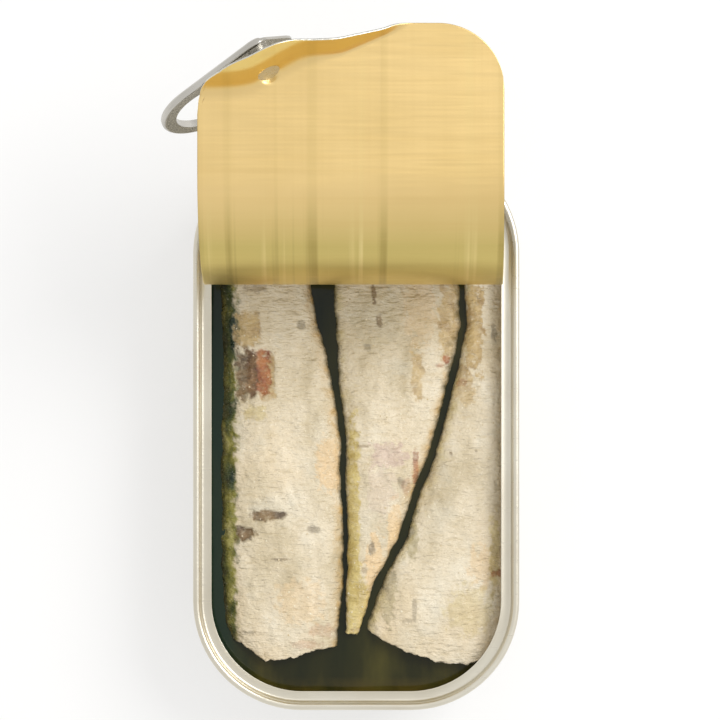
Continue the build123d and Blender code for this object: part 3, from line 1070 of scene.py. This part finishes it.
# --- loose scales ---------------------------------------------------------------------------------
@dataclass
class LooseScales:
    """Tiny lens-shaped scales and shreds, scattered over the backs of the fish by geometry nodes.

    Args:
        density: How many to a square metre.
        smallest, largest: Their radius, in metres.
        lowest: Nothing is scattered below this height, in metres.
        tilt: How far a scale may lean from the skin, in radians.
    """

    density: float = 180000.0
    smallest: float = 0.00008
    largest: float = 0.00026
    lowest: float = 0.0152
    tilt: float = 0.35

    def lens(self) -> bpy.types.Object:
        """One closed scale of radius 1 and twelve faces."""
        rim = [(math.cos(k * math.pi / 3) * (1.3 if k % 3 else 0.8), math.sin(k * math.pi / 3) * 0.8, 0.0)
               for k in range(6)]
        mesh = bpy.data.meshes.new("scale")
        faces = [(k, (k + 1) % 6, 6) for k in range(6)] + [((k + 1) % 6, k, 7) for k in range(6)]
        mesh.from_pydata([*rim, (0.0, 0.0, 0.24), (0.0, 0.0, -0.1)], [], faces)
        return bpy.data.objects.new("scale", mesh)

    def tree(self, scale: bpy.types.Object, finish: bpy.types.Material) -> bpy.types.NodeTree:
        """The scattering tree, with its sizes as named inputs.

        Args:
            scale: The shape that is scattered.
            finish: Its material.

        Returns:
            The node tree.
        """
        tree = bpy.data.node_groups.new("loose_scales", "GeometryNodeTree")
        tree.interface.new_socket(name="Geometry", in_out="INPUT", socket_type="NodeSocketGeometry")
        for name in ("Density", "Smallest", "Largest", "Lowest"):
            tree.interface.new_socket(name=name, in_out="INPUT", socket_type="NodeSocketFloat")
        tree.interface.new_socket(name="Seed", in_out="INPUT", socket_type="NodeSocketInt")
        tree.interface.new_socket(name="Geometry", in_out="OUTPUT", socket_type="NodeSocketGeometry")
        new, link = tree.nodes.new, tree.links.new
        given, out = new("NodeGroupInput"), new("NodeGroupOutput")
        place, split = new("GeometryNodeInputPosition"), new("ShaderNodeSeparateXYZ")
        above = new("FunctionNodeCompare")
        link(place.outputs["Position"], split.inputs["Vector"])
        link(split.outputs["Z"], above.inputs["A"])
        link(given.outputs["Lowest"], above.inputs["B"])
        points = new("GeometryNodeDistributePointsOnFaces")
        link(given.outputs["Geometry"], points.inputs["Mesh"])
        link(above.outputs["Result"], points.inputs["Selection"])
        link(given.outputs["Density"], points.inputs["Density"])
        link(given.outputs["Seed"], points.inputs["Seed"])
        shape, size = new("GeometryNodeObjectInfo"), new("FunctionNodeRandomValue")
        shape.inputs["Object"].default_value = scale
        link(given.outputs["Smallest"], size.inputs[2])
        link(given.outputs["Largest"], size.inputs[3])
        link(given.outputs["Seed"], size.inputs["Seed"])
        placed, turned = new("GeometryNodeInstanceOnPoints"), new("GeometryNodeRotateInstances")
        turn = new("FunctionNodeRandomValue")
        link(points.outputs["Points"], placed.inputs["Points"])
        link(points.outputs["Rotation"], placed.inputs["Rotation"])
        link(shape.outputs["Geometry"], placed.inputs["Instance"])
        link(size.outputs[1], placed.inputs["Scale"])
        turn.data_type = "FLOAT_VECTOR"
        turn.inputs[0].default_value = (-self.tilt, -self.tilt, 0.0)
        turn.inputs[1].default_value = (self.tilt, self.tilt, 6.28)
        link(placed.outputs["Instances"], turned.inputs["Instances"])
        link(turn.outputs[0], turned.inputs["Rotation"])
        real, dress = new("GeometryNodeRealizeInstances"), new("GeometryNodeSetMaterial")
        dress.inputs["Material"].default_value = finish
        link(turned.outputs["Instances"], real.inputs["Geometry"])
        link(real.outputs["Geometry"], dress.inputs["Geometry"])
        link(dress.outputs["Geometry"], out.inputs["Geometry"])
        return tree

    def build(self, fish: bpy.types.Object, tree: bpy.types.NodeTree, seed: int) -> bpy.types.Object:
        """The scales on one fish, as a plain mesh.

        Args:
            fish: The fish that they lie on.
            tree: The scattering tree.
            seed: The seed of this fish's scales.

        Returns:
            The finished piece.
        """
        host = bpy.data.objects.new("host", fish.data)
        bpy.context.scene.collection.objects.link(host)
        modifier = host.modifiers.new("scales", "NODES")
        modifier.node_group = tree
        values = {"Density": self.density, "Smallest": self.smallest, "Largest": self.largest,
                  "Lowest": self.lowest, "Seed": seed}
        for item in tree.interface.items_tree:
            if item.in_out == "INPUT" and item.name in values:
                modifier[item.identifier] = values[item.name]
        graph = bpy.context.evaluated_depsgraph_get()
        mesh = bpy.data.meshes.new_from_object(host.evaluated_get(graph))
        bpy.data.objects.remove(host)
        piece = bpy.data.objects.new(fish.name.replace("skin", "scales"), mesh)
        bpy.context.scene.collection.objects.link(piece)
        return piece


# --- oil ------------------------------------------------------------------------------------------
@dataclass
class Oil:
    """The oil round the fish, up to its level, with a meniscus at the wall.

    Args:
        tin: The tin it lies in.
        floor: Height of its underside.
        climb: How high it climbs at the wall.
        climb_width: How fast that climb falls away from the wall.
        overlap: How far it reaches into the wall, so that no gap shows.
    """

    tin: Tin
    floor: float = 3.0
    climb: float = 0.5
    climb_width: float = 0.5
    overlap: float = 0.1

    def build(self, finish: bpy.types.Material) -> bpy.types.Object:
        """The oil's mesh."""
        shell = Shell("oil_fill")
        wall = self.tin.body_inset + self.tin.sheet - self.overlap
        insets = [wall + d for d in (0.0, 0.15, 0.4, 0.8, 1.4, 2.4, 4.0, 7.0, 11.0, 15.0)]
        rows = [self.tin.outline.ring(wall, self.floor)]
        for inset in insets:
            climb = self.climb * math.exp(-(inset - wall) / self.climb_width)
            rows.append(self.tin.outline.ring(inset, self.tin.oil_level + climb))
        index = shell.grid(rows, closed=True)
        shell.faces.append(tuple(reversed(index[0])))
        shell.faces.append(tuple(index[-1]))
        shell.slots += [0, 0]
        return shell.build([finish])


# --- studio ---------------------------------------------------------------------------------------
@dataclass
class Studio:
    """Pale floor, soft light from the right and a camera straight above.

    Args:
        camera_height, focal: The camera's height, in metres, and its lens, in millimetres.
        sensor: Width of its sensor, in millimetres.
        aim: The x and y it stands over.
        paper: Share of its own light in the floor, as it is seen.
        floor_half: Half the floor's width.
        sky: Strength of the light from all round.
    """

    camera_height: float = 0.672
    focal: float = 176.8
    sensor: float = 36.0
    aim: tuple[float, float] = (0.00069, 0.0124)
    paper: float = 0.5
    floor_half: float = 3.0
    sky: float = 0.85

    def build(self) -> None:
        """Makes the floor, the lamps, the world and the camera."""
        scene = bpy.context.scene
        scene.view_settings.view_transform = "Standard"
        self.floor()
        self.world(scene)
        self.lamp("key", (0.55, 0.35, 0.75), 0.5, 4.6)
        data = bpy.data.cameras.new("camera")
        data.lens, data.sensor_width, data.clip_start = self.focal, self.sensor, 0.01
        camera = bpy.data.objects.new("camera", data)
        camera.location = (*self.aim, self.camera_height)
        scene.collection.objects.link(camera)
        scene.camera = camera

    def floor(self) -> None:
        """A white floor that keeps the shadow."""
        mesh = bpy.data.meshes.new("floor")
        half = self.floor_half
        corners = [(-half, -half, 0), (half, -half, 0), (half, half, 0), (-half, half, 0)]
        mesh.from_pydata(corners, [], [(0, 1, 2, 3)])
        floor = bpy.data.objects.new("floor", mesh)
        bpy.context.scene.collection.objects.link(floor)
        m = Material("floor_white")
        m.value(Roughness=0.9, Specular_IOR_Level=0.0)
        m.shader.inputs["Base Color"].default_value = (0.92, 0.915, 0.905, 1.0)
        rays, glow = m.nodes.new("ShaderNodeLightPath"), m.nodes.new("ShaderNodeEmission")
        mix = m.nodes.new("ShaderNodeMixShader")
        seen = m.math("MAXIMUM", rays.outputs["Is Camera Ray"], rays.outputs["Is Glossy Ray"])
        seen = m.math("MAXIMUM", seen, rays.outputs["Is Transmission Ray"])
        m.links.new(m.math("MULTIPLY", seen, self.paper), mix.inputs["Fac"])
        m.links.new(m.shader.outputs["BSDF"], mix.inputs[1])
        m.links.new(glow.outputs["Emission"], mix.inputs[2])
        m.links.new(mix.outputs["Shader"], m.nodes["Material Output"].inputs["Surface"])
        mesh.materials.append(m.material)

    def world(self, scene: bpy.types.Scene) -> None:
        """Even white light from all round."""
        world = bpy.data.worlds.new("studio")
        world.use_nodes = True
        background = world.node_tree.nodes["Background"]
        background.inputs["Color"].default_value = (1.0, 0.995, 0.985, 1.0)
        background.inputs["Strength"].default_value = self.sky
        scene.world = world

    def lamp(self, name: str, place: tuple[float, float, float], size: float, power: float) -> None:
        """A square soft lamp that looks at the tin."""
        data = bpy.data.lights.new(name, "AREA")
        data.size, data.energy = size, power
        lamp = bpy.data.objects.new(name, data)
        lamp.location = place
        lamp.rotation_euler = (Vector((0, 0.01, 0.02)) - Vector(place)).to_track_quat("-Z", "Y").to_euler()
        bpy.context.scene.collection.objects.link(lamp)


# --- the whole ------------------------------------------------------------------------------------
# Limits of the three fish as (y, x), their cut ends as (x, y), and their backs and undersides as (y, z),
# all in millimetres.
LEFT_FISH_RIGHT: Line = (
    (-46.0, -3.5), (-38.0, -3.1), (-30.0, -2.2), (-20.0, -2.0), (-11.0, -2.6), (-2.0, -2.6),
    (8.0, -4.2), (14.0, -5.3), (20.0, -7.2), (26.0, -8.1), (43.0, -10.6),
)
MIDDLE_FISH_LEFT: Line = (
    (-46.0, -3.2), (-38.0, -2.0), (-30.0, -1.9), (-20.0, -1.7), (-11.0, -2.3), (-2.0, -2.3),
    (8.0, -3.7), (14.0, -4.0), (20.0, -4.4), (26.0, -4.6), (43.0, -5.0),
)
MIDDLE_FISH_RIGHT: Line = (
    (-46.0, -0.4), (-38.5, 0.3), (-34.0, 1.9), (-29.0, 3.4), (-21.0, 7.9), (-12.0, 10.9), (-5.0, 13.9),
    (3.0, 16.2), (12.0, 18.6), (19.0, 20.0), (26.0, 19.6), (43.0, 16.6),
)
RIGHT_FISH_LEFT: Line = (
    (-46.0, 1.2), (-38.0, 1.6), (-29.0, 4.3), (-21.0, 9.0), (-12.0, 11.7), (-5.0, 14.5), (3.0, 16.7),
    (12.0, 19.0), (19.0, 20.4), (26.0, 20.0), (43.0, 17.0),
)
LEFT_WALL: Line = (
    (-46.0, -20.6), (-42.0, -24.0), (-38.0, -25.9), (-30.0, -26.6), (31.0, -26.6), (38.0, -25.6),
    (43.0, -23.2),
)
RIGHT_WALL: Line = (
    (-46.0, 22.6), (-42.0, 25.8), (-38.0, 27.6), (-31.0, 28.6), (31.0, 28.6), (38.0, 27.6),
    (43.0, 25.2),
)
LEFT_CUT: Line = (
    (-30.0, -36.0), (-20.8, -40.6), (-16.9, -43.5), (-11.3, -42.8), (-7.1, -41.2), (0.0, -40.4),
)
RIGHT_CUT: Line = (
    (-6.0, -33.0), (1.0, -37.0), (4.6, -39.4), (9.6, -41.9), (15.5, -43.7), (20.9, -44.0),
    (30.0, -40.0),
)
TAIL_END: Line = ((-2.2, -38.3), (0.6, -38.5))
FULL_BACK: Line = ((-46.0, 16.4), (43.0, 16.4))
FULL_UNDERSIDE: Line = ((-46.0, 1.8), (43.0, 1.8))
TAIL_BACK: Line = (
    (-38.5, 15.0), (-34.0, 15.5), (-30.0, 15.8), (-26.0, 16.0), (-21.0, 16.1), (43.0, 16.1),
)
TAIL_UNDERSIDE: Line = (
    (-38.5, 10.0), (-34.0, 7.6), (-30.0, 5.6), (-26.0, 4.0), (-21.0, 2.8), (-12.0, 1.9), (43.0, 1.8),
)


def sardines() -> list[Sardine]:
    """The three fish as they lie."""
    torn, red, tan, grey = Stain.TORN, Stain.RED, Stain.TAN, Stain.GREY
    peach, pink, olive, yellow = Stain.PEACH, Stain.PINK, Stain.OLIVE, Stain.YELLOW
    left_marks = (
        Mark(tan, -16.6, 9.6, 3.0, 7.6, 0.85, 0.2, 0.4, 0.8),
        Mark(red, -18.2, 10.0, 4.4, 8.2, 0.9, 0.4, 0.4, 0.8),
        Mark(torn, -20.4, 9.7, 3.8, 8.8, 0.9, 0.5, 0.4, 0.9),
        Mark(tan, -20.3, 18.2, 4.8, 6.0, 0.85, 0.15, 0.4, 0.8),
        Mark(tan, -16.4, 5.6, 3.4, 1.6, 0.6),
        Mark(yellow, -18.6, 2.6, 4.4, 2.6, 0.5),
        Mark(torn, -16.4, -16.5, 6.6, 2.0, 0.9, 0.4, 0.3),
        Mark(torn, -22.2, -19.9, 6.6, 2.8, 0.95, 0.5, 0.3),
        Mark(torn, -18.4, 26.0, 4.0, 2.0, 0.4),
        Mark(grey, -10.2, 18.9, 1.5, 2.0, 0.8, 0.1),
        Mark(grey, -7.9, -19.0, 2.4, 1.5, 0.6, 0.1, 0.3),
        Mark(torn, -14.2, -24.6, 3.2, 0.45, 0.7, 0.1),
        Mark(grey, -20.4, -38.2, 3.6, 0.5, 0.7, 0.1),
        Mark(peach, -5.0, -7.2, 4.6, 10.0, 0.8),
        Mark(peach, -10.5, -32.5, 9.0, 8.0, 0.4),
        Mark(red, -6.4, -37.8, 4.2, 2.4, 0.25),
        Mark(red, -9.5, -40.4, 6.0, 1.4, 0.3),
    )
    middle_marks = (
        Mark(tan, 11.3, 9.3, 2.2, 9.4, 0.7),
        Mark(red, 16.7, 12.4, 1.3, 1.5, 0.9),
        Mark(red, 15.6, 11.4, 1.6, 0.6, 0.5),
        Mark(torn, 3.2, 24.4, 0.9, 4.0, 0.8),
        Mark(torn, 4.2, 19.6, 1.1, 2.4, 0.7),
        Mark(grey, 2.0, 14.8, 1.1, 1.0, 0.7),
        Mark(tan, 16.9, 20.0, 3.4, 14.0, 0.75),
        Mark(peach, 11.8, 22.0, 6.0, 14.0, 0.35),
        Mark(pink, 6.0, -5.4, 7.0, 4.6, 0.85),
        Mark(red, 11.0, -7.6, 1.2, 5.4, 0.7),
        Mark(red, 9.2, -11.0, 1.6, 3.0, 0.3),
        Mark(torn, 1.4, -3.6, 2.6, 0.5, 0.5),
        Mark(grey, 8.4, -10.4, 1.2, 2.6, 0.5),
        Mark(grey, 2.9, -22.3, 1.2, 2.2, 0.8),
        Mark(torn, 1.6, -26.6, 1.2, 1.4, 0.5),
        Mark(yellow, -0.6, -20.0, 2.4, 42.0, 0.95, 0.0, 0.5, 0.6),
        Mark(yellow, 0.2, -33.0, 4.4, 12.0, 0.8),
        Mark(peach, 3.4, -26.0, 3.6, 12.0, 0.8),
        Mark(peach, 7.0, -19.0, 2.4, 10.0, 0.7),
        Mark(pink, 4.4, -12.0, 5.4, 8.4, 0.35),
        Mark(olive, 4.0, 21.0, 9.0, 12.0, 0.18),
    )
    right_marks = (
        Mark(tan, 21.8, 18.4, 3.6, 18.0, 0.85),
        Mark(tan, 20.2, 8.0, 3.4, 7.0, 0.6),
        Mark(grey, 25.6, 17.6, 1.1, 3.0, 0.85),
        Mark(red, 19.4, 8.2, 1.8, 1.2, 0.35),
        Mark(red, 26.2, -27.2, 2.6, 1.3, 0.7),
        Mark(peach, 23.5, -26.0, 5.0, 7.0, 0.5),
        Mark(grey, 10.9, -34.0, 0.8, 4.4, 0.55),
        Mark(grey, 9.6, -36.0, 2.2, 0.8, 0.5),
        Mark(yellow, 25.6, -24.0, 2.0, 14.0, 0.6),
        Mark(yellow, 21.0, -34.0, 8.0, 9.0, 0.35),
        Mark(olive, 6.0, -31.0, 3.0, 10.0, 0.45),
        Mark(olive, 10.4, -20.0, 1.8, 11.0, 0.5),
        Mark(torn, 17.6, -5.0, 0.6, 0.6, 0.7),
        Mark(torn, 22.2, -4.4, 0.5, 0.5, 0.7),
    )
    return [
        Sardine("sardine_skin_left", LEFT_WALL, LEFT_FISH_RIGHT, 42.8, LEFT_CUT, FULL_BACK, FULL_UNDERSIDE,
                free_left=True, marks=left_marks, seed=3.1),
        Sardine("sardine_skin_middle", MIDDLE_FISH_LEFT, MIDDLE_FISH_RIGHT, 42.6, TAIL_END, TAIL_BACK,
                TAIL_UNDERSIDE, marks=middle_marks, seed=11.7),
        Sardine("sardine_skin_right", RIGHT_FISH_LEFT, RIGHT_WALL, 42.8, RIGHT_CUT, FULL_BACK, FULL_UNDERSIDE,
                marks=right_marks, seed=23.3),
    ]


def main() -> None:
    """Builds the pieces in order and puts each on the frame."""
    logging.basicConfig(level=logging.INFO)
    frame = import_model()
    tin = Tin()
    silver = SheetFinish("tin_silver", srgb(226, 221, 206), srgb(214, 207, 190), 0.32).make()
    gold = GoldFinish().make()
    outer = SheetFinish("lid_outside", srgb(222, 219, 210), srgb(206, 202, 192), 0.28).make()
    tab = SheetFinish("tab_metal", srgb(206, 203, 196), srgb(180, 176, 168), 0.22).make()
    skin, oil = SkinFinish().make(), OilFinish().make()

    for node, finish in (("can_body", silver), ("ring_pull", tab)):
        mesh = frame["nodes"][node].data
        mesh.materials.clear()
        mesh.materials.append(finish)

    sheet = PeeledPanel(tin)
    rim, panel, rivet = Rim(tin).build(silver), sheet.build(gold, outer), Rivet(sheet).build(outer)
    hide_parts("lid")
    for piece in (rim, panel, rivet):
        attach(piece, "root")
    loose = LooseScales()
    tree = loose.tree(loose.lens(), ScaleFinish().make())
    for seed, (fish, node) in enumerate(zip(sardines(), ("sardine_left", "sardine_middle", "sardine_right"))):
        piece = fish.build(skin)
        scales = loose.build(piece, tree, seed)
        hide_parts(node)
        for part in (piece, scales):
            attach(part, "root")
            log.info("%s: %d faces", part.name, len(part.data.polygons))
    fill = Oil(tin).build(oil)
    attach(fill, "root")
    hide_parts("oil")
    Studio().build()


if __name__ == "__main__":
    main()
